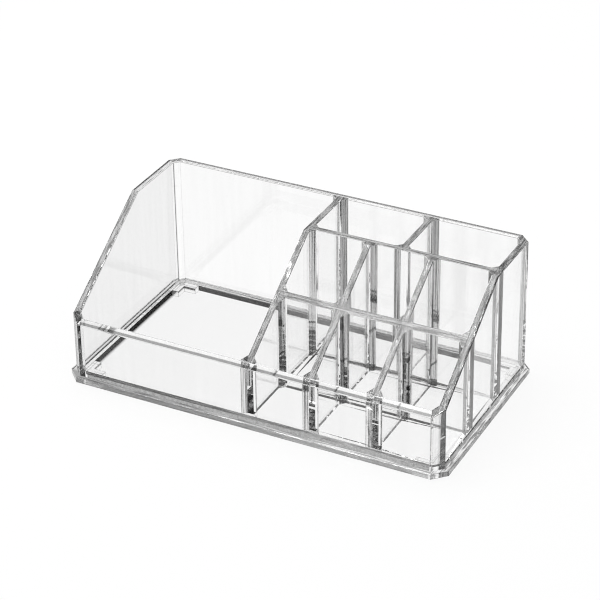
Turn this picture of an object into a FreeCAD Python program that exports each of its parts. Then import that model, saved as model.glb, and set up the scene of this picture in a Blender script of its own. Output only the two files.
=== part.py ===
"""Clear vanity organizer: a flanged base with bevelled outer walls, one tray and eight cells.

Every piece is modelled with the front left corner of the flange at the origin, X to the right,
Y to the back and Z up from the table. The finished pieces are then shifted so that the origin
is the middle of the footprint.
"""
import FreeCAD, Part
import math
import os
import re
import Sketcher

# Driving dimensions in millimetres.
SIZES = {
    # Footprint of the flange and the height over all.
    "width": 220.0,
    "depth": 120.0,
    "height": 81.0,
    "corner_bevel": 7.0,
    # Base: feet, flange, raised floor and the recess under it.
    "foot_drop": 0.4,
    "foot_arm": 11.0,
    "foot_width": 4.0,
    "flange_thickness": 3.2,
    "flange_round": 0.5,
    "floor_rise": 1.7,
    "floor_thickness": 1.7,
    "rim_inset": 1.0,
    # Outer walls: ledge left outside them, lean of the outer face, thickness and rounding at the top.
    "ledge": 2.6,
    "draft": 0.6,
    "wall_top": 3.9,
    "wall_round": 0.9,
    "channel_depth": 0.4,
    # Slope of the sides: its height at the front edge, and where it meets the level top.
    "slope_foot": 33.2,
    "slope_top": 72.3,
    # Dividers: thickness, rounding at the top, bevels in the cells' corners and the clear sizes
    # that place them.
    "divider_thickness": 3.5,
    "divider_round": 0.4,
    "cell_bevel": 2.7,
    "tray_width": 99.6,
    "front_row": 31.8,
    "middle_row": 32.3,
    # Joints: housings in the walls, grooves in the floor, thickness of the bond.
    "housing_depth": 0.8,
    "groove_depth": 0.8,
    "bond_gap": 0.05,
}

# Places worked out from the driving dimensions, as expressions on the sheet.
MITRE = "(sqrt(2) - 1)"
INNER = "(ledge + draft + wall_top)"
CHANNEL = "(foot_drop + flange_thickness - channel_depth)"
LEDGE_TOP = "(foot_drop + flange_thickness)"
FLOOR = "(foot_drop + flange_thickness + floor_rise)"
FLOOR_UNDERSIDE = f"({FLOOR} - floor_thickness)"
RECESS = f"({INNER} + rim_inset)"
HALF_DIVIDER = "(divider_thickness / 2)"
HALF_FOOT = f"({HALF_DIVIDER} + cell_bevel)"
TRAY_X = f"({INNER} + tray_width + {HALF_DIVIDER})"
BAY_LEFT = f"({INNER} + tray_width + divider_thickness)"
BAY_RIGHT = f"(width - {INNER})"
CELL_WIDTH = f"(({BAY_RIGHT} - {BAY_LEFT} - 2 * divider_thickness) / 3)"
LEFT_X = f"({BAY_LEFT} + {CELL_WIDTH} + {HALF_DIVIDER})"
RIGHT_X = f"({BAY_RIGHT} - {CELL_WIDTH} - {HALF_DIVIDER})"
REAR_X = f"(({BAY_LEFT} + {BAY_RIGHT}) / 2)"
FRONT_FACE = INNER
MIDDLE_FRONT = f"({INNER} + front_row)"
MIDDLE_BACK = f"({MIDDLE_FRONT} + divider_thickness)"
REAR_FRONT = f"({MIDDLE_BACK} + middle_row)"
REAR_BACK = f"({REAR_FRONT} + divider_thickness)"
BACK_FACE = f"(depth - {INNER})"
MIDDLE_Y = f"({MIDDLE_FRONT} + {HALF_DIVIDER})"
REAR_Y = f"({REAR_FRONT} + {HALF_DIVIDER})"

# Middle of the ring on which a sketch's corners start, clear of both axes.
RING_CENTRE = 2.0

# A face whose normal rises by more than this is a top, and places closer than this are the same.
UPWARD = 0.5
SAME = 0.01

# An edge runs along a wall if it strays across by less than this share of its length.
SLANT = 0.1

doc = FreeCAD.newDocument("vanity_organizer")
sheet = doc.addObject("Spreadsheet::Sheet", "sizes")
finished = []


def fill_sheet():
    """Put each driving dimension in a cell of its own, with its name as the alias."""
    for row, (alias, value) in enumerate(SIZES.items(), start=1):
        sheet.set(f"A{row}", alias)
        sheet.set(f"B{row}", str(value))
        sheet.setAlias(f"B{row}", alias)
    doc.recompute()


def on_sheet(expression):
    """The expression with each size's name pointing at its cell."""
    def cell(word):
        return f"sizes.{word[0]}" if word[0] in SIZES else word[0]
    return re.sub(r"[a-z_]+", cell, expression)


def bind(feature, prop, expression):
    feature.setExpression(prop, on_sheet(expression))


def add_outline(sketch, corners):
    """Closed outline whose corners, pairs of expressions, are held by the sheet.

    The corners start evenly round a circle, and their constraints then take them to their places.
    """
    count = len(corners)
    first = sketch.GeometryCount
    turns = [2 * math.pi * index / count for index in range(count)]
    start = [FreeCAD.Vector(RING_CENTRE + math.cos(turn), RING_CENTRE + math.sin(turn), 0)
             for turn in turns]
    for index in range(count):
        line = Part.LineSegment(start[index], start[(index + 1) % count])
        sketch.addGeometry(line, False)
    for index in range(count):
        following = first + (index + 1) % count
        sketch.addConstraint(Sketcher.Constraint("Coincident", first + index, 2, following, 1))
    for index, corner in enumerate(corners):
        for kind, axis, place in zip(("DistanceX", "DistanceY"), (-2, -1), corner):
            if place == "0":
                sketch.addConstraint(Sketcher.Constraint("PointOnObject", first + index, 1, axis))
                continue
            held = Sketcher.Constraint(kind, first + index, 1, 1.0)
            bind(sketch, f"Constraints[{sketch.addConstraint(held)}]", place)


def add_sketch(body, name, plane, lift, outlines):
    """Sketch on one of the body's own planes, lifted along its normal."""
    sketch = body.newObject("Sketcher::SketchObject", f"{body.Name}_{name}")
    support = [plane_of for plane_of in body.Origin.OriginFeatures if plane_of.Role == plane]
    sketch.AttachmentSupport = [(support[0], "")]
    sketch.MapMode = "FlatFace"
    bind(sketch, "AttachmentOffset.Base.z", lift)
    for corners in outlines:
        add_outline(sketch, corners)
    return sketch


def add_pad(body, sketch, length, reverse=False):
    pad = body.newObject("PartDesign::Pad", f"{sketch.Name}_pad")
    pad.Profile = sketch
    pad.Reversed = reverse
    bind(pad, "Length", length)
    doc.recompute()
    return pad


def add_pocket(body, sketch, length=None, reverse=False):
    """Cut the sketch out of the body, right through both ways unless a length is given."""
    before = body.Shape.Volume
    pocket = body.newObject("PartDesign::Pocket", f"{sketch.Name}_pocket")
    pocket.Profile = sketch
    pocket.Reversed = reverse
    if length is None:
        pocket.Type = "ThroughAll"
        pocket.SideType = "Symmetric"
    else:
        bind(pocket, "Length", length)
    doc.recompute()
    if not body.Shape.Volume < before:
        raise RuntimeError(f"{pocket.Name} cuts nothing")
    return pocket


def add_fillet(body, base, edge_numbers, radius):
    fillet = body.newObject("PartDesign::Fillet", f"{base.Name}_fillet")
    fillet.Base = (base, [f"Edge{number}" for number in edge_numbers])
    bind(fillet, "Radius", radius)
    doc.recompute()
    return fillet


def top_edges(shape):
    """Number and edge of each border of a piece's upward faces, without the creases between two."""
    borders = [edge for face in shape.Faces if face.normalAt(0, 0).z > UPWARD for edge in face.Edges]
    for number, edge in enumerate(shape.Edges, start=1):
        if sum(edge.isSame(border) for border in borders) == 1:
            yield number, edge


def add_cut(item, tool, name):
    cut = doc.addObject("Part::Cut", name)
    cut.Base = item
    cut.Tool = tool
    doc.recompute()
    if not cut.Shape.Volume < item.Shape.Volume:
        raise RuntimeError(f"{cut.Name} cuts nothing")
    return cut


def add_rounding(item, name, edge_numbers, size_name):
    """Round the numbered edges of an item, with the radius read from the sheet."""
    radius = sheet.get(size_name)
    rounded = doc.addObject("Part::Fillet", f"{name}_rounded")
    rounded.Base = item
    rounded.Edges = [(number, radius, radius) for number in edge_numbers]
    doc.recompute()
    if not rounded.Shape.Volume < item.Shape.Volume:
        raise RuntimeError(f"{rounded.Name} rounds nothing")
    return rounded


def new_body(name):
    return doc.addObject("PartDesign::Body", name)


def place(item, x="0", y="0", heading=(1, 0)):
    """Turn an item about the vertical so that its X axis takes a heading, and set its place."""
    turn = math.degrees(math.atan2(heading[1], heading[0]))
    rotation = FreeCAD.Rotation(FreeCAD.Vector(0, 0, 1), turn)
    item.Placement = FreeCAD.Placement(FreeCAD.Vector(), rotation)
    bind(item, "Placement.Base.x", x)
    bind(item, "Placement.Base.y", y)


def centred(expression, span):
    """The same place counted from the middle of the footprint."""
    return f"{expression} - {span} / 2"


def finish(item, label):
    item.Label = label
    finished.append(item)


def octagon(inset):
    """The footprint with bevelled corners, moved inwards by an inset."""
    bevel = f"(corner_bevel + {MITRE} * {inset})"
    far_x = f"width - {inset}" if inset != "0" else "width"
    far_y = f"depth - {inset}" if inset != "0" else "depth"
    return [
        (bevel, inset),
        (f"width - {bevel}", inset),
        (far_x, bevel),
        (far_x, f"depth - {bevel}"),
        (f"width - {bevel}", far_y),
        (bevel, far_y),
        (inset, f"depth - {bevel}"),
        (inset, bevel),
    ]


def rectangle(low, high):
    return [(low[0], low[1]), (high[0], low[1]), (high[0], high[1]), (low[0], high[1])]


def turned(corners, along):
    """Corners given as (along the piece, across it), put in the order (x, y)."""
    if along == "x":
        return corners
    return [(across, length) for length, across in corners]


# Where each divider stands: its direction, centre line, and the two faces that it runs between.
DIVIDERS = {
    "tray_divider": ("y", TRAY_X, FRONT_FACE, BACK_FACE),
    "rear_cross_wall": ("x", REAR_Y, BAY_LEFT, BAY_RIGHT),
    "middle_cross_wall": ("x", MIDDLE_Y, BAY_LEFT, BAY_RIGHT),
    "rear_divider": ("y", REAR_X, REAR_BACK, BACK_FACE),
    "middle_divider_left": ("y", LEFT_X, MIDDLE_BACK, REAR_FRONT),
    "middle_divider_right": ("y", RIGHT_X, MIDDLE_BACK, REAR_FRONT),
    "front_divider_left": ("y", LEFT_X, FRONT_FACE, MIDDLE_FRONT),
    "front_divider_right": ("y", RIGHT_X, FRONT_FACE, MIDDLE_FRONT),
}
LEVEL_TOPPED = ("rear_cross_wall", "rear_divider")

# Housings in the dividers: the face that each is cut into, the side that its solid lies on,
# and the centre lines of the pieces that end there.
DIVIDER_HOUSINGS = {
    "tray_divider": [(BAY_LEFT, "-", (REAR_Y, MIDDLE_Y))],
    "rear_cross_wall": [(REAR_FRONT, "+", (LEFT_X, RIGHT_X)), (REAR_BACK, "-", (REAR_X,))],
    "middle_cross_wall": [(MIDDLE_FRONT, "+", (LEFT_X, RIGHT_X)), (MIDDLE_BACK, "-", (LEFT_X, RIGHT_X))],
}


def housing(face, side, centre):
    """Plan of one housing, as corners (along the wall, across it), open towards the cell."""
    half = f"({HALF_FOOT} + bond_gap)"
    outside = "-" if side == "+" else "+"
    return rectangle((f"{centre} - {half}", f"{face} {side} housing_depth"),
                     (f"{centre} + {half}", f"{face} {outside} housing_depth"))


def bevelled_plan(centre, start, end):
    """Plan of a divider: a web that widens at each end into a foot, set in the wall's housing."""
    foot = "(housing_depth - bond_gap)"
    wide = (f"{centre} - {HALF_FOOT}", f"{centre} + {HALF_FOOT}")
    slim = (f"{centre} - {HALF_DIVIDER}", f"{centre} + {HALF_DIVIDER}")
    return [
        (f"{start} - {foot}", wide[0]), (f"{start} - {foot}", wide[1]),
        (start, wide[1]), (f"{start} + cell_bevel", slim[1]),
        (f"{end} - cell_bevel", slim[1]), (end, wide[1]),
        (f"{end} + {foot}", wide[1]), (f"{end} + {foot}", wide[0]),
        (end, wide[0]), (f"{end} - cell_bevel", slim[0]),
        (f"{start} + cell_bevel", slim[0]), (start, wide[0]),
    ]


def groove_plan(centre, start, end, play):
    """Plan of a divider's groove in the floor, or of its tongue with the bond's play all round."""
    half = f"({HALF_DIVIDER} - {play})"
    return rectangle((f"{start} + cell_bevel + {play}", f"{centre} - {half}"),
                     (f"{end} - cell_bevel - {play}", f"{centre} + {half}"))


def make_divider(name, slope_cutter):
    along, centre, start, end = DIVIDERS[name]
    body = new_body(f"{name}_blank")
    plan = turned(bevelled_plan(centre, start, end), along)
    add_pad(body, add_sketch(body, "plan", "XY_Plane", FLOOR, [plan]), f"height - {FLOOR}")
    tongue = turned(groove_plan(centre, start, end, "bond_gap"), along)
    tongue_sketch = add_sketch(body, "tongue", "XY_Plane", FLOOR, [tongue])
    add_pad(body, tongue_sketch, "groove_depth - bond_gap", reverse=True)
    trimmed = body if name in LEVEL_TOPPED else add_cut(body, slope_cutter, f"{name}_trimmed")
    item = add_rounding(trimmed, name, divider_borders(trimmed.Shape, along), "divider_round")
    housings = [turned(housing(face, side, other), along)
                for face, side, centres in DIVIDER_HOUSINGS.get(name, []) for other in centres]
    if housings:
        item = add_cut(item, make_housing_cutter(name, housings), f"{name}_housed")
    finish_placed(item, name)


def divider_borders(shape, along):
    """Top edges of a divider along its web and its bevels, without those of its feet."""
    foot = sheet.get("housing_depth") - sheet.get("bond_gap")
    box = shape.BoundBox
    low, high = (box.XMin, box.XMax) if along == "x" else (box.YMin, box.YMax)
    for number, edge in top_edges(shape):
        lengths = [vertex.X if along == "x" else vertex.Y for vertex in edge.Vertexes]
        if all(low + foot - SAME < length < high - foot + SAME for length in lengths):
            yield number


def make_housing_cutter(name, housings):
    """Everything above the floor in the plans of a piece's housings."""
    body = new_body(f"{name}_housings")
    sketch = add_sketch(body, "plan", "XY_Plane", FLOOR, housings)
    add_pad(body, sketch, "height")
    return body


def finish_placed(item, name, x="0", y="0", heading=(1, 0)):
    place(item, centred(x, "width"), centred(y, "depth"), heading)
    finish(item, name)


def make_slope_cutter():
    """Everything above the slope, ahead of the level top."""
    body = new_body("slope_cutter")
    above = "(height + wall_top)"
    side = [("0", "slope_foot"), ("slope_top", "height"), ("slope_top", above), ("0", above)]
    add_pad(body, add_sketch(body, "side", "YZ_Plane", "0", [side]), "width")
    return body


def wall_section():
    """Section across an outer wall, as (distance in from the flange's edge, height).

    The outer face leans in by the draft. The foot stands in the base's channel, against the raised
    floor, and is thinner there by the bond on each side.
    """
    return [
        ("ledge + bond_gap", f"{CHANNEL} + bond_gap"),
        (f"{INNER} - bond_gap", f"{CHANNEL} + bond_gap"),
        (f"{INNER} - bond_gap", FLOOR),
        (INNER, FLOOR),
        (INNER, "height"),
        ("ledge + draft", "height"),
        ("ledge", LEDGE_TOP),
        ("ledge + bond_gap", LEDGE_TOP),
    ]


# The eight outer walls, anticlockwise: where each starts on the flange's edge, its heading,
# its length there, and the centre lines of the dividers that end in it, from its start.
BEVEL_LENGTH = "corner_bevel * sqrt(2)"
WALLS = {
    "front_panel": ("corner_bevel", "0", (1, 0), "width - 2 * corner_bevel",
                    [f"{spot} - corner_bevel" for spot in (TRAY_X, LEFT_X, RIGHT_X)]),
    "corner_strip_front_right": ("width - corner_bevel", "0", (1, 1), BEVEL_LENGTH, []),
    "right_panel": ("width", "corner_bevel", (0, 1), "depth - 2 * corner_bevel",
                    [f"{spot} - corner_bevel" for spot in (MIDDLE_Y, REAR_Y)]),
    "corner_strip_back_right": ("width", "depth - corner_bevel", (-1, 1), BEVEL_LENGTH, []),
    "back_panel": ("width - corner_bevel", "depth", (-1, 0), "width - 2 * corner_bevel",
                   [f"width - {spot} - corner_bevel" for spot in (TRAY_X, REAR_X)]),
    "corner_strip_back_left": ("corner_bevel", "depth", (-1, -1), BEVEL_LENGTH, []),
    "left_panel": ("0", "depth - corner_bevel", (0, -1), "depth - 2 * corner_bevel", []),
    "corner_strip_front_left": ("0", "corner_bevel", (1, -1), BEVEL_LENGTH, []),
}
LEVEL_WALLS = ("corner_strip_back_right", "back_panel", "corner_strip_back_left")


def make_wall(name, slope_cutter):
    """One outer wall, modelled along X from the start of its edge and then turned into place."""
    x, y, heading, length, centres = WALLS[name]
    body = new_body(f"{name}_blank")
    add_pad(body, add_sketch(body, "section", "YZ_Plane", "0", [wall_section()]), length)
    reach = f"({INNER} + wall_top)"
    lean = f"{MITRE} * {reach}"
    mitres = [[("0", "0"), (lean, reach), ("0", reach)],
              [(length, "0"), (length, reach), (f"{length} - {lean}", reach)]]
    add_pocket(body, add_sketch(body, "mitres", "XY_Plane", "0", mitres))
    place(body, x, y, heading)
    trimmed = body if name in LEVEL_WALLS else add_cut(body, slope_cutter, f"{name}_trimmed")
    item = add_rounding(trimmed, name, wall_borders(trimmed.Shape, heading), "wall_round")
    if centres:
        cutter = make_housing_cutter(name, [housing(INNER, "-", centre) for centre in centres])
        place(cutter, x, y, heading)
        item = add_cut(item, cutter, f"{name}_housed")
    finish_placed(item, name)


def wall_borders(shape, heading):
    """Top edges of an outer wall along both its faces, without those at its mitres."""
    run = FreeCAD.Vector(*heading, 0).normalize()
    inwards = FreeCAD.Vector(-run.y, run.x, 0)
    for number, edge in top_edges(shape):
        way = edge.Vertexes[-1].Point - edge.Vertexes[0].Point
        if abs(way.dot(inwards)) < abs(way.dot(run)) * SLANT:
            yield number


def make_base():
    """Flange with rounded edges, channel for the walls, raised floor with grooves, recess below."""
    body = new_body("base_plate_body")
    flange_sketch = add_sketch(body, "flange", "XY_Plane", "foot_drop", [octagon("0")])
    flange = add_pad(body, flange_sketch, "flange_thickness")
    rims = [number for number, edge in enumerate(flange.Shape.Edges, start=1)
            if abs(edge.Vertexes[0].Z - edge.Vertexes[-1].Z) < edge.Length / 2]
    add_fillet(body, flange, rims, "flange_round")
    channel = add_sketch(body, "channel", "XY_Plane", LEDGE_TOP, [octagon("ledge")])
    add_pocket(body, channel, "channel_depth")
    floor = add_sketch(body, "floor", "XY_Plane", CHANNEL, [octagon(INNER)])
    add_pad(body, floor, f"{FLOOR} - {CHANNEL}")
    recess = add_sketch(body, "recess", "XY_Plane", "foot_drop", [octagon(RECESS)])
    add_pocket(body, recess, f"{FLOOR_UNDERSIDE} - foot_drop", reverse=True)
    grooves = [turned(groove_plan(centre, start, end, "0"), along)
               for along, centre, start, end in DIVIDERS.values()]
    add_pocket(body, add_sketch(body, "grooves", "XY_Plane", FLOOR, grooves), "groove_depth")
    finish_placed(body, "base_plate")


def make_feet():
    """Four L-shaped feet in the corners of the recess, standing a little below the rim."""
    near = f"({RECESS} + bond_gap)"
    bevel = f"(corner_bevel + {MITRE} * {near})"
    arm = f"({near} + foot_arm)"
    inside = f"({near} + foot_width)"
    plan = [
        (bevel, near), (arm, near), (arm, inside), (inside, inside),
        (inside, arm), (near, arm), (near, bevel),
    ]
    corners = {
        "corner_foot_front_left": ("0", "0", (1, 0)),
        "corner_foot_front_right": ("width", "0", (0, 1)),
        "corner_foot_back_right": ("width", "depth", (-1, 0)),
        "corner_foot_back_left": ("0", "depth", (0, -1)),
    }
    for name, (x, y, heading) in corners.items():
        body = new_body(f"{name}_body")
        add_pad(body, add_sketch(body, "plan", "XY_Plane", "0", [plan]), f"{FLOOR_UNDERSIDE} - bond_gap")
        finish_placed(body, name, x, y, heading)


def check_and_write():
    """Stop on any failed object or bad shape, then write each piece to its own file."""
    doc.recompute()
    for item in doc.Objects:
        if "Invalid" in item.State or "Error" in item.State:
            raise RuntimeError(f"{item.Name} failed: {item.State}")
    for item in finished:
        shape = item.Shape
        if shape.isNull() or not shape.isValid() or len(shape.Solids) != 1:
            raise RuntimeError(f"{item.Label} has a bad shape")
    os.makedirs("parts", exist_ok=True)
    for item in finished:
        item.Shape.exportStep(os.path.join("parts", f"{item.Label}.step"))
        print(f"{item.Label}: {item.Shape.Volume:.1f} mm3")


def main():
    fill_sheet()
    make_base()
    make_feet()
    slope_cutter = make_slope_cutter()
    for name in WALLS:
        make_wall(name, slope_cutter)
    for name in DIVIDERS:
        make_divider(name, slope_cutter)
    check_and_write()


main()
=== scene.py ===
"""Looks of the clear vanity organizer: polished clear plastic in a plain white studio."""
import math
import bpy
import numpy as np
from mathutils import Matrix, Vector
from mathutils.bvhtree import BVHTree

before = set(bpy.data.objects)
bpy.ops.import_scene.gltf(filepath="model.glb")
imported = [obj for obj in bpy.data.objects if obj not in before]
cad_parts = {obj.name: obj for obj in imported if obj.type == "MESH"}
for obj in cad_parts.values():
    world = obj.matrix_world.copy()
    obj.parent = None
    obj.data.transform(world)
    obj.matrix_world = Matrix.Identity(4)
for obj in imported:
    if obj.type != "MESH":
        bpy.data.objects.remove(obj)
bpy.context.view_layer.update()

# Units, in metres.
MM = 0.001
MICRON = 0.000001

# Outer edges of the base plate, from the frame.
base_points = np.array([vertex.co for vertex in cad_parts["base_plate"].data.vertices])
LEFT, FRONT = base_points.min(axis=0)[:2].tolist()
RIGHT, BACK = base_points.max(axis=0)[:2].tolist()

# The walls' inner faces, in from the outer edges, and the recess under the floor, in from those faces. The
# feet reach along the recess's sides from its corners.
INNER = 7.1 * MM
RECESS_INSET = 1.0 * MM
RECESS_LEFT = LEFT + INNER + RECESS_INSET
RECESS_RIGHT = RIGHT - INNER - RECESS_INSET
RECESS_FRONT = FRONT + INNER + RECESS_INSET
RECESS_BACK = BACK - INNER - RECESS_INSET
FOOT_REACH = 10.9 * MM

# Room for a face's place to differ from the size that it is sorted by.
SLACK = 0.5 * MM

# Bands along the outer edges that hold the ledge, and the bevels at the outer walls.
LEDGE_BAND = 6.0 * MM
BEVEL_BAND = 15.0 * MM

# Heights: the ledge's top, and the levels above which a face belongs to the floor's underside, to the floor
# or to a wall's top.
LEDGE_TOP = 3.6 * MM
UNDERSIDE_LEVEL = 3.0 * MM
FLOOR_LEVEL = 4.0 * MM
WALL_LEVEL = 6.5 * MM

# Furthest that the search for a bonded face's neighbour goes, and how far behind the face it starts.
BOND = 0.12 * MM
BEHIND = 0.03 * MM

# A face looks straight along an axis from this share of its normal on, and is turned to it from the next.
STRAIGHT = 0.9
TURNED = 0.5

# A face is upright if its normal rises less than this, and slanting if X and Y of its normal differ less.
UPRIGHT = 0.1
SLANT = 0.1

# Rise of a face's normal at a wall's top: flat above the first, rounded below the second, and in the border
# under the rounding, which is painted dark as shade, below the third.
FLAT_RISE = 0.98
ROUND_RISE = 0.8
BORDER_RISE = 0.45

# Refraction of the plastic. It is lower where the ground has to show through clearly.
IOR = 1.49
FLOOR_IOR = 1.30
SIDE_IOR = 1.20
FRONT_IOR = 1.30

# Width of the painted dark line along an edge, which stands in for the shade at a rounded edge, its samples,
# and how alike the bevelled normal and the face's own are where the line is full and where it ends.
EDGE_LINE = 0.45 * MM
FOOT_LINE = 0.8 * MM
EDGE_SAMPLES = 4
EDGE_TURN = (0.92, 0.985)

# Scales of the noise along X, Y and Z, its detail, and the parts of it that are used.
FINE = (600.0, 600.0, 600.0)
BROAD = (250.0, 250.0, 20.0)
TALL = (1500.0, 1500.0, 12.0)
DEEP = (1200.0, 100.0, 100.0)
ACROSS = (60.0, 1200.0, 1200.0)
NOISE_DETAIL = 2.0
SOFT = (0.3, 0.7)
HARD = (0.4, 0.6)

# Places where a painted shade in the plastic starts and ends.
# Painted shade, darker towards the tray than the cells, on the steps, the edges and the floor's bonded front
# edge.
TRAY_TO_CELLS = (-30.0 * MM, 40.0 * MM)
# The painted shadow of the recess's left side on the floor's underside, lifted where the feet reach.
FLOOR_EDGE = (RECESS_LEFT + 3.1 * MM, RECESS_LEFT + 4.8 * MM)
FOOT_BLUR = 0.2 * MM
FRONT_FEET = (RECESS_FRONT + FOOT_REACH - FOOT_BLUR, RECESS_FRONT + FOOT_REACH + FOOT_BLUR)
BACK_FEET = (RECESS_BACK - FOOT_REACH - FOOT_BLUR, RECESS_BACK - FOOT_REACH + FOOT_BLUR)
# Painted darker ends and painted dark lines on the ledge, the rim, the left and back tops, a corner strip and
# the crease.
LEDGE_END = (FRONT + 5.5 * MM, FRONT + 9.5 * MM)
RIM_LINE = (FRONT + 4.3 * MM, FRONT + 4.7 * MM)
LEFT_LINE = (LEFT + 4.8 * MM, LEFT + 5.4 * MM)
BACK_LINE = (BACK - 5.9 * MM, BACK - 5.3 * MM)
CORNER_LINE = (RIGHT - 5.8 * MM, RIGHT - 5.2 * MM)
CREASE_LINE = (LEFT + 7.3 * MM, LEFT + 7.7 * MM)

# Studio floor: half its size in metres, its grey, and the share of it that glows white.
WHITE = (1.0, 1.0, 1.0, 1.0)
FLOOR_HALF = 3.0
FLOOR_GREY = (0.85, 0.85, 0.85, 1.0)
FLOOR_GLOW = 0.9

# Studio light: Y and Z of the directions between which the light from the front and from above grows from dim
# to full, the dim level, and the plain level that dull surfaces get. The lamp is in metres and watts.
FRONT_LIGHT = (-0.25, -0.75)
TOP_LIGHT = (0.82, 0.92)
DIM_LIGHT = 0.05
PLAIN_LIGHT = 0.7
LAMP_PLACE = Vector((-0.25, 0.15, 1.1))
LAMP_SIZE = (0.9, 0.6)
LAMP_WATTS = 8.0

# Camera, solved from the photograph: degrees, and metres from the point it looks at.
CAMERA_AZIMUTH = 27.418
CAMERA_ELEVATION = 30.537
CAMERA_ROLL = -0.846
CAMERA_DISTANCE = 1.1923
CAMERA_TARGET = Vector((0.00059, 0.0, 0.04595))
FOCAL_LENGTH_PX = 2277.8
FRAME_PX = 600
SENSOR_MM = 36.0


def new_material(name):
    """An empty material and its shader tree."""
    material = bpy.data.materials.new(name)
    material.use_nodes = True
    material.node_tree.nodes.clear()
    return material, material.node_tree


def add_node(tree, kind, sockets=None, **settings):
    """A new node with its settings, each socket set to a number or linked to another node's output."""
    node = tree.nodes.new(kind)
    for setting, value in settings.items():
        setattr(node, setting, value)
    for socket, value in (sockets or {}).items():
        if isinstance(value, bpy.types.NodeSocket):
            tree.links.new(value, node.inputs[socket])
        else:
            node.inputs[socket].default_value = value
    return node


def combine(tree, operation, first, second, **settings):
    """One number worked out of two others."""
    node = add_node(tree, "ShaderNodeMath", {0: first, 1: second}, operation=operation, **settings)
    return node.outputs["Value"]


def carry(tree, value, start, end, **settings):
    """A number carried from one range to another, and held at its ends."""
    ends = {"From Min": start[0], "From Max": start[1], "To Min": end[0], "To Max": end[1]}
    return add_node(tree, "ShaderNodeMapRange", {"Value": value, **ends}, **settings).outputs["Result"]


def mix(tree, share, first, second):
    """Two shaders mixed by a share of the second."""
    return add_node(tree, "ShaderNodeMixShader", {0: share, 1: first, 2: second}).outputs["Shader"]


def painted_edge_shade(tree, line, width):
    """Painted shade along an edge: the light kept there, less where the bevelled normal turns away from the
    face's own.
    """
    bevelled = add_node(tree, "ShaderNodeBevel", {"Radius": width}, samples=EDGE_SAMPLES).outputs["Normal"]
    own = add_node(tree, "ShaderNodeNewGeometry").outputs["Normal"]
    facing = add_node(tree, "ShaderNodeVectorMath", {0: bevelled, 1: own}, operation="DOT_PRODUCT")
    alike = add_node(tree, "ShaderNodeMath", {0: facing.outputs["Value"]}, operation="ABSOLUTE")
    return carry(tree, alike.outputs["Value"], EDGE_TURN, (1.0 - line, 1.0))


def lightest_painted_shade(tree, place, painted_shades):
    """The lightest of the painted shades at a place, each running along one axis between two greys."""
    axes = add_node(tree, "ShaderNodeSeparateXYZ", {0: place}).outputs
    lightest = None
    for axis, places, greys in painted_shades:
        shade = carry(tree, axes[axis], places, greys)
        lightest = combine(tree, "MAXIMUM", lightest, shade) if lightest else shade
    return lightest


def clear_plastic(name, tone_and_shade, roughness=0.0, ripple=0.0, grain=FINE, contrast=SOFT, ior=IOR, line=0.5,
                  edge=EDGE_LINE, clear=1.0, painted_shades=()):
    """Polished colourless plastic with a faint ripple in its surface, painted grey that stands in for the
    shade it shows, and a painted dark line along its edges.

    tone_and_shade is the range of grey that the surface takes from light going in: painted shade where it is
    dark, with a random tone from the noise. ripple is the height in metres of a soft noise on Object
    coordinates, grain that noise's scale along X, Y and Z, and contrast the part of the noise that spans the
    grey. line is how much of the light is lost right at an edge, as painted shade, and edge the line's width
    in metres. clear is the share of the light that goes in. Each of the painted_shades is an axis with two
    places on it, in metres, and the greys there, and the lightest of them dims the grey as painted shade.
    """
    material, tree = new_material(name)
    place = add_node(tree, "ShaderNodeTexCoord").outputs["Object"]
    scaled = add_node(tree, "ShaderNodeMapping", {"Vector": place, "Scale": grain}).outputs["Vector"]
    noise_values = {"Vector": scaled, "Scale": 1.0, "Detail": NOISE_DETAIL}
    noise = add_node(tree, "ShaderNodeTexNoise", noise_values).outputs["Fac"]
    grey = combine(tree, "MULTIPLY", carry(tree, noise, contrast, tone_and_shade), painted_edge_shade(tree, line, edge))
    if painted_shades:
        grey = combine(tree, "MULTIPLY", grey, lightest_painted_shade(tree, place, painted_shades))
    bump = add_node(tree, "ShaderNodeBump", {"Strength": 1.0, "Distance": ripple, "Height": noise})
    shader = add_node(tree, "ShaderNodeBsdfPrincipled", {
        "Base Color": grey, "Transmission Weight": clear, "IOR": ior, "Roughness": roughness,
        "Normal": bump.outputs["Normal"]})
    add_node(tree, "ShaderNodeOutputMaterial", {"Surface": shader.outputs["BSDF"]})
    return material


def bonded_joint():
    """Inside of a bonded joint, where the two pieces are one clear body and nothing shows."""
    material, tree = new_material("bonded_joint")
    shader = add_node(tree, "ShaderNodeBsdfTransparent")
    add_node(tree, "ShaderNodeOutputMaterial", {"Surface": shader.outputs["BSDF"]})
    return material


def wall_looks():
    """The upright faces of the panels and dividers, painted a light grey as shade, the left panel's darker.
    """
    plain = dict(ripple=10 * MICRON, grain=BROAD)
    return {
        "wall": dict(tone_and_shade=(0.95, 0.98), line=0.7, **plain),
        "side": dict(tone_and_shade=(0.85, 0.89), ior=SIDE_IOR, **plain),
        "front": dict(tone_and_shade=(0.95, 0.98), ior=FRONT_IOR, line=0.7, **plain),
    }


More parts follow.
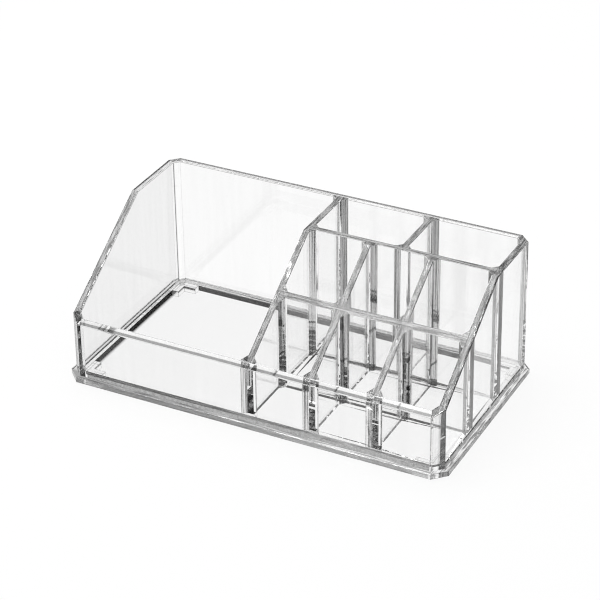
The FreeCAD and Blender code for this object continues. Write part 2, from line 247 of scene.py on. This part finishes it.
def floor_looks():
    """The raised floor from above and below, the recess under it, and the feet, with painted shade and a
    painted shadow.
    """
    plain = dict(ripple=5 * MICRON, grain=BROAD)
    # Painted shadow on the floor's underside by the recess's left side.
    painted_shadow = [("X", FLOOR_EDGE, (0.03, 1.0)), ("Y", FRONT_FEET, (1.0, 0.0)), ("Y", BACK_FEET, (0.0, 1.0))]
    return {
        "floor": dict(tone_and_shade=(0.99, 1.0), ior=FLOOR_IOR, line=0.35, **plain),
        "floor_under": dict(tone_and_shade=(0.99, 1.0), ior=FLOOR_IOR, painted_shades=painted_shadow, **plain),
        "foot": dict(tone_and_shade=(0.99, 1.0), ior=FLOOR_IOR, line=0.9, edge=FOOT_LINE, **plain),
        # The recess's sides painted dark as shade.
        "recess": dict(tone_and_shade=(0.1, 0.25), ripple=10 * MICRON),
        # A grey line at the floor's bonded front edge, with painted shade darker towards the tray.
        "front_bond": dict(tone_and_shade=(0.5, 1.0), roughness=0.3, ripple=10 * MICRON, grain=ACROSS, contrast=HARD,
                           line=0.0, clear=0.3, painted_shades=[("X", TRAY_TO_CELLS, (0.4, 1.0))]),
    }


def flange_looks():
    """The base plate's flange: its underside, its ledge at the back and left, its steps and its edges, all
    but the underside with painted shade.
    """
    return {
        "under": dict(tone_and_shade=(0.97, 1.0), ripple=5 * MICRON, grain=BROAD),
        # Painted shade on the ledge, darker towards its front end.
        "ledge": dict(tone_and_shade=(0.97, 1.0), ripple=2 * MICRON, grain=BROAD, line=0.3,
                      painted_shades=[("Y", LEDGE_END, (0.2, 1.0))]),
        # The steps and edges painted grey as shade, with a random mottle, darker towards the tray and darker
        # at the right.
        "step": dict(tone_and_shade=(0.2, 0.95), roughness=0.05, ripple=20 * MICRON, grain=ACROSS, contrast=HARD,
                     painted_shades=[("X", TRAY_TO_CELLS, (0.22, 1.0))]),
        "step_right": dict(tone_and_shade=(0.1, 1.0), roughness=0.05, ripple=30 * MICRON, grain=DEEP, contrast=HARD),
        "flange": dict(tone_and_shade=(0.75, 1.0), roughness=0.15, ripple=20 * MICRON, grain=ACROSS, contrast=HARD,
                       line=0.6, clear=0.6, painted_shades=[("X", TRAY_TO_CELLS, (0.66, 1.0))]),
        "flange_right": dict(tone_and_shade=(0.3, 1.0), roughness=0.15, ripple=30 * MICRON, grain=DEEP, contrast=HARD,
                             line=0.6, clear=0.7),
    }


def top_looks():
    """The tops of the walls: front to back, side to side, the left and back panels', and their roundings,
    painted grey as shade, with painted dark lines in the borders under the roundings and along the left and
    back tops.
    """
    dull = dict(roughness=0.12, ripple=40 * MICRON, contrast=HARD, clear=0.6)
    return {
        "deep_top": dict(tone_and_shade=(0.07, 0.34), grain=DEEP, **dull),
        "wide_top": dict(tone_and_shade=(0.09, 0.4), grain=ACROSS, **dull),
        "left_slope": dict(tone_and_shade=(0.25, 0.75), roughness=0.3, ripple=10 * MICRON, grain=DEEP, contrast=HARD,
                           clear=0.5),
        "left_top": dict(tone_and_shade=(0.6, 1.0), roughness=0.15, ripple=30 * MICRON, grain=DEEP,
                         painted_shades=[("X", LEFT_LINE, (0.03, 1.0))]),
        "back_top": dict(tone_and_shade=(0.8, 1.0), roughness=0.05, ripple=20 * MICRON, grain=ACROSS,
                         painted_shades=[("Y", BACK_LINE, (1.0, 0.15))]),
        "round": dict(tone_and_shade=(0.8, 1.0), ripple=20 * MICRON),
        "border": dict(tone_and_shade=(0.1, 0.4), ripple=20 * MICRON),
    }


def rim_looks():
    """The front panel's rim: its top, painted grey with a painted dark band along its front part, and its
    roundings at the back and front, the front one painted a darker grey as shade.
    """
    plain = dict(ripple=3 * MICRON, grain=BROAD, ior=FRONT_IOR)
    return {
        "rim": dict(tone_and_shade=(0.86, 0.93), line=0.1, clear=0.8, painted_shades=[("Y", RIM_LINE, (0.22, 1.0))], **plain),
        "rim_back": dict(tone_and_shade=(0.97, 1.0), line=0.9, **plain),
        "rim_front": dict(tone_and_shade=(0.7, 0.85), line=0.2, clear=0.8, **plain),
    }


def bevel_looks():
    """The upright bevels in the corners of the cells, painted dark streaked grey as shade, darker by the
    outer wall that they stand at.
    """
    streaked = dict(roughness=0.02, grain=TALL, contrast=HARD, line=0.9)
    return {
        "bevel": dict(tone_and_shade=(0.01, 0.45), ripple=10 * MICRON, **streaked),
        "bevel_back": dict(tone_and_shade=(0.003, 0.18), ripple=10 * MICRON, **streaked),
        "bevel_right": dict(tone_and_shade=(0.0002, 0.02), ripple=10 * MICRON, **streaked),
        "bevel_front": dict(tone_and_shade=(0.06, 0.9), **streaked),
    }


def corner_looks():
    """The four corner strips, the front left and back right ones painted dark grey as shade and the front
    right one darker at its right side, and the crease inside the one at the back left, a painted dark line.
    """
    smooth = dict(tone_and_shade=(0.97, 1.0), ripple=10 * MICRON, grain=BROAD, line=0.0)
    return {
        "corner_front_left": dict(tone_and_shade=(0.25, 0.85), roughness=0.05, ripple=30 * MICRON, grain=TALL,
                                  contrast=HARD, clear=0.75),
        "corner_front_right": dict(tone_and_shade=(0.9, 1.0), roughness=0.05, ripple=10 * MICRON, grain=TALL, clear=0.9,
                                   painted_shades=[("X", CORNER_LINE, (1.0, 0.6))]),
        "corner_back_right": dict(tone_and_shade=(0.1, 0.8), roughness=0.02, ripple=30 * MICRON, grain=TALL,
                                  contrast=HARD, clear=0.8),
        "corner_back_left": smooth,
        "crease": dict(painted_shades=[("X", CREASE_LINE, (0.05, 1.0))], **smooth),
    }


def make_shaded_finishes():
    """Each finish, with its painted shade, by its name."""
    shaded_finishes = {"joint": bonded_joint()}
    for looks in (wall_looks, floor_looks, flange_looks, top_looks, rim_looks, bevel_looks, corner_looks):
        for kind, look in looks().items():
            shaded_finishes[kind] = clear_plastic("clear_" + kind, **look)
    return shaded_finishes


def find_bonded_faces(pieces):
    """Faces of each piece that lie against a face of another, across no more than the bond.

    A ray from just behind each face's middle looks outwards for a face that looks back. The pair
    counts only if the other face, from its own middle, finds a neighbour too.
    """
    trees = {}
    for name, piece in pieces.items():
        points = [vertex.co for vertex in piece.data.vertices]
        trees[name] = BVHTree.FromPolygons(points, [tuple(face.vertices) for face in piece.data.polygons])
    found = {}
    for name, piece in pieces.items():
        for face in piece.data.polygons:
            start = face.center - face.normal * BEHIND
            for other, tree in trees.items():
                if other == name:
                    continue
                _, normal, index, _ = tree.ray_cast(start, face.normal, BOND)
                if index is not None and normal.dot(face.normal) < -STRAIGHT:
                    found[name, face.index] = (other, index)
    return {key for key, other in found.items() if other in found}


def base_kind(normal, centre):
    """The finish of a face of the base plate, which picks its painted shade."""
    in_recess = (RECESS_LEFT - SLACK < centre.x < RECESS_RIGHT + SLACK
                 and RECESS_FRONT - SLACK < centre.y < RECESS_BACK + SLACK)
    if normal.z > STRAIGHT:
        if centre.z > FLOOR_LEVEL:
            return "floor"
        if centre.y > BACK - LEDGE_BAND or centre.x < LEFT + LEDGE_BAND:
            return "ledge"
        return "step_right" if centre.x > RIGHT - LEDGE_BAND else "step"
    if normal.z < -STRAIGHT:
        return "floor_under" if centre.z > UNDERSIDE_LEVEL else "under"
    if abs(normal.z) < UPRIGHT and in_recess:
        return "recess"
    return "flange_right" if normal.x > TURNED else "flange"


def top_kind(name, normal):
    """The finish of a face at the top of a panel, strip or divider, which picks its painted shade."""
    if name == "front_panel":
        if normal.y > UPRIGHT:
            return "rim_back"
        return "rim_front" if normal.z < ROUND_RISE else "rim"
    if normal.z < BORDER_RISE:
        return "border"
    if normal.z < ROUND_RISE:
        return "round"
    if name == "left_panel":
        return "left_top" if normal.z > FLAT_RISE else "left_slope"
    if name == "back_panel":
        return "back_top"
    return "wide_top" if name.endswith("cross_wall") else "deep_top"


def bevel_kind(centre):
    """The finish of an upright bevel, and so its painted shade, by the outer wall that it stands at."""
    if centre.y < FRONT + BEVEL_BAND:
        return "bevel_front"
    if centre.x > RIGHT - BEVEL_BAND:
        return "bevel_right"
    return "bevel_back" if centre.y > BACK - BEVEL_BAND else "bevel"


def face_kind(name, face):
    """The finish of a face, and so its painted shade, by its piece and by how it lies."""
    normal, centre = face.normal, face.center
    if name == "base_plate":
        return base_kind(normal, centre)
    if name.startswith("corner_foot"):
        return "foot"
    if normal.z < -STRAIGHT:
        return "joint"
    if normal.z > UPRIGHT and centre.z > WALL_LEVEL:
        return top_kind(name, normal)
    if name == "corner_strip_back_left" and normal.x > UPRIGHT:
        return "crease"
    if name.startswith("corner_strip"):
        return name.replace("corner_strip", "corner")
    if abs(normal.z) < UPRIGHT and abs(abs(normal.x) - abs(normal.y)) < SLANT:
        return bevel_kind(centre)
    return {"left_panel": "side", "front_panel": "front"}.get(name, "wall")


def bonded_kind(name, face):
    """The finish of a bonded face: the raised floor's front edge shows as a grey line with painted shade, the
    others don't.
    """
    at_front = face.normal.y < -STRAIGHT and face.center.y < FRONT + INNER + SLACK
    return "front_bond" if name == "base_plate" and at_front and face.center.z > LEDGE_TOP else "joint"


def dress_pieces():
    """Clear plastic with painted shade on every piece, and the joint's inside on the faces that are bonded.
    """
    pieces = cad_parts
    shaded_finishes = make_shaded_finishes()
    bonded = find_bonded_faces(pieces)
    for name, piece in pieces.items():
        piece.data.materials.clear()
        used = []
        for face in piece.data.polygons:
            kind = bonded_kind(name, face) if (name, face.index) in bonded else face_kind(name, face)
            if kind not in used:
                used.append(kind)
                piece.data.materials.append(shaded_finishes[kind])
            face.material_index = used.index(kind)
            face.use_smooth = False


def white_table():
    """The floor's finish: it shows as plain white, and a lit share of it keeps the object's shadow."""
    material, tree = new_material("white_table")
    rays = add_node(tree, "ShaderNodeLightPath").outputs
    through = combine(tree, "ADD", rays["Is Glossy Ray"], rays["Is Transmission Ray"], use_clamp=True)
    direct = combine(tree, "MULTIPLY", rays["Is Camera Ray"], FLOOR_GLOW)
    lit = add_node(tree, "ShaderNodeBsdfDiffuse", {"Color": FLOOR_GREY}).outputs["BSDF"]
    glow = add_node(tree, "ShaderNodeEmission", {"Color": WHITE}).outputs["Emission"]
    surface = mix(tree, combine(tree, "MAXIMUM", direct, through), lit, glow)
    add_node(tree, "ShaderNodeOutputMaterial", {"Surface": surface})
    return material


def make_floor():
    """The studio's level floor: a grid of one cell, x and y each from minus to plus its half size, z zero."""
    ends = np.array([-FLOOR_HALF, FLOOR_HALF])
    x, y = np.meshgrid(ends, ends)
    points = np.stack([x, y, np.zeros_like(x)], axis=-1).reshape(-1, 3)
    mesh = bpy.data.meshes.new("floor")
    mesh.from_pydata(points.tolist(), [], [(0, 1, 3, 2)])
    mesh.materials.append(white_table())
    floor = bpy.data.objects.new("floor", mesh)
    bpy.context.scene.collection.objects.link(floor)


def make_world():
    """Studio light: bright from the front and from above, dim elsewhere, white behind the object.

    Dull surfaces get a plain light from all sides.
    """
    world = bpy.data.worlds.new("studio")
    bpy.context.scene.world = world
    world.use_nodes = True
    tree = world.node_tree
    tree.nodes.clear()
    direction = add_node(tree, "ShaderNodeTexCoord").outputs["Generated"]
    axes = add_node(tree, "ShaderNodeSeparateXYZ", {0: direction}).outputs
    front = carry(tree, axes["Y"], FRONT_LIGHT, (0.0, 1.0), interpolation_type="SMOOTHSTEP")
    top = carry(tree, axes["Z"], TOP_LIGHT, (0.0, 1.0), interpolation_type="SMOOTHSTEP")
    level = carry(tree, combine(tree, "MAXIMUM", front, top), (0.0, 1.0), (DIM_LIGHT, 1.0))
    studio = add_node(tree, "ShaderNodeBackground", {"Color": level}).outputs["Background"]
    white = add_node(tree, "ShaderNodeBackground", {"Color": WHITE}).outputs["Background"]
    plain_values = {"Color": WHITE, "Strength": PLAIN_LIGHT}
    plain = add_node(tree, "ShaderNodeBackground", plain_values).outputs["Background"]
    rays = add_node(tree, "ShaderNodeLightPath").outputs
    seen = mix(tree, rays["Is Camera Ray"], studio, white)
    add_node(tree, "ShaderNodeOutputWorld", {"Surface": mix(tree, rays["Is Diffuse Ray"], seen, plain)})


def make_lamp():
    """A wide soft box above, turned to the middle of the floor."""
    lamp = bpy.data.lights.new("top_softbox", "AREA")
    lamp.shape = "RECTANGLE"
    lamp.size, lamp.size_y = LAMP_SIZE
    lamp.energy = LAMP_WATTS
    holder = bpy.data.objects.new("top_softbox", lamp)
    holder.location = LAMP_PLACE
    holder.rotation_euler = (-LAMP_PLACE).to_track_quat("-Z", "Y").to_euler()
    bpy.context.scene.collection.objects.link(holder)


def make_camera():
    """The photograph's camera, turned about its own axis by the roll."""
    azimuth = math.radians(CAMERA_AZIMUTH)
    elevation = math.radians(CAMERA_ELEVATION)
    roll = math.radians(CAMERA_ROLL)
    back = Vector((math.sin(azimuth) * math.cos(elevation), -math.cos(azimuth) * math.cos(elevation),
                   math.sin(elevation)))
    level = (-back).cross(Vector((0, 0, 1))).normalized()
    above = level.cross(-back)
    right = level * math.cos(roll) + above * math.sin(roll)
    up = above * math.cos(roll) - level * math.sin(roll)
    data = bpy.data.cameras.new("camera")
    data.sensor_width = SENSOR_MM
    data.lens = FOCAL_LENGTH_PX / FRAME_PX * SENSOR_MM
    camera = bpy.data.objects.new("camera", data)
    turn = Matrix((right, up, back)).transposed().to_4x4()
    camera.matrix_world = Matrix.Translation(CAMERA_TARGET + back * CAMERA_DISTANCE) @ turn
    bpy.context.scene.collection.objects.link(camera)
    bpy.context.scene.camera = camera


def set_view():
    """Plain colours, a crisp picture, and bounces enough to look through many clear walls."""
    scene = bpy.context.scene
    scene.view_settings.view_transform = "Standard"
    scene.cycles.max_bounces = 48
    scene.cycles.transmission_bounces = 48
    scene.cycles.glossy_bounces = 24
    scene.cycles.transparent_max_bounces = 64
    scene.cycles.filter_width = 1.1


set_view()
dress_pieces()
make_floor()
make_world()
make_lamp()
make_camera()
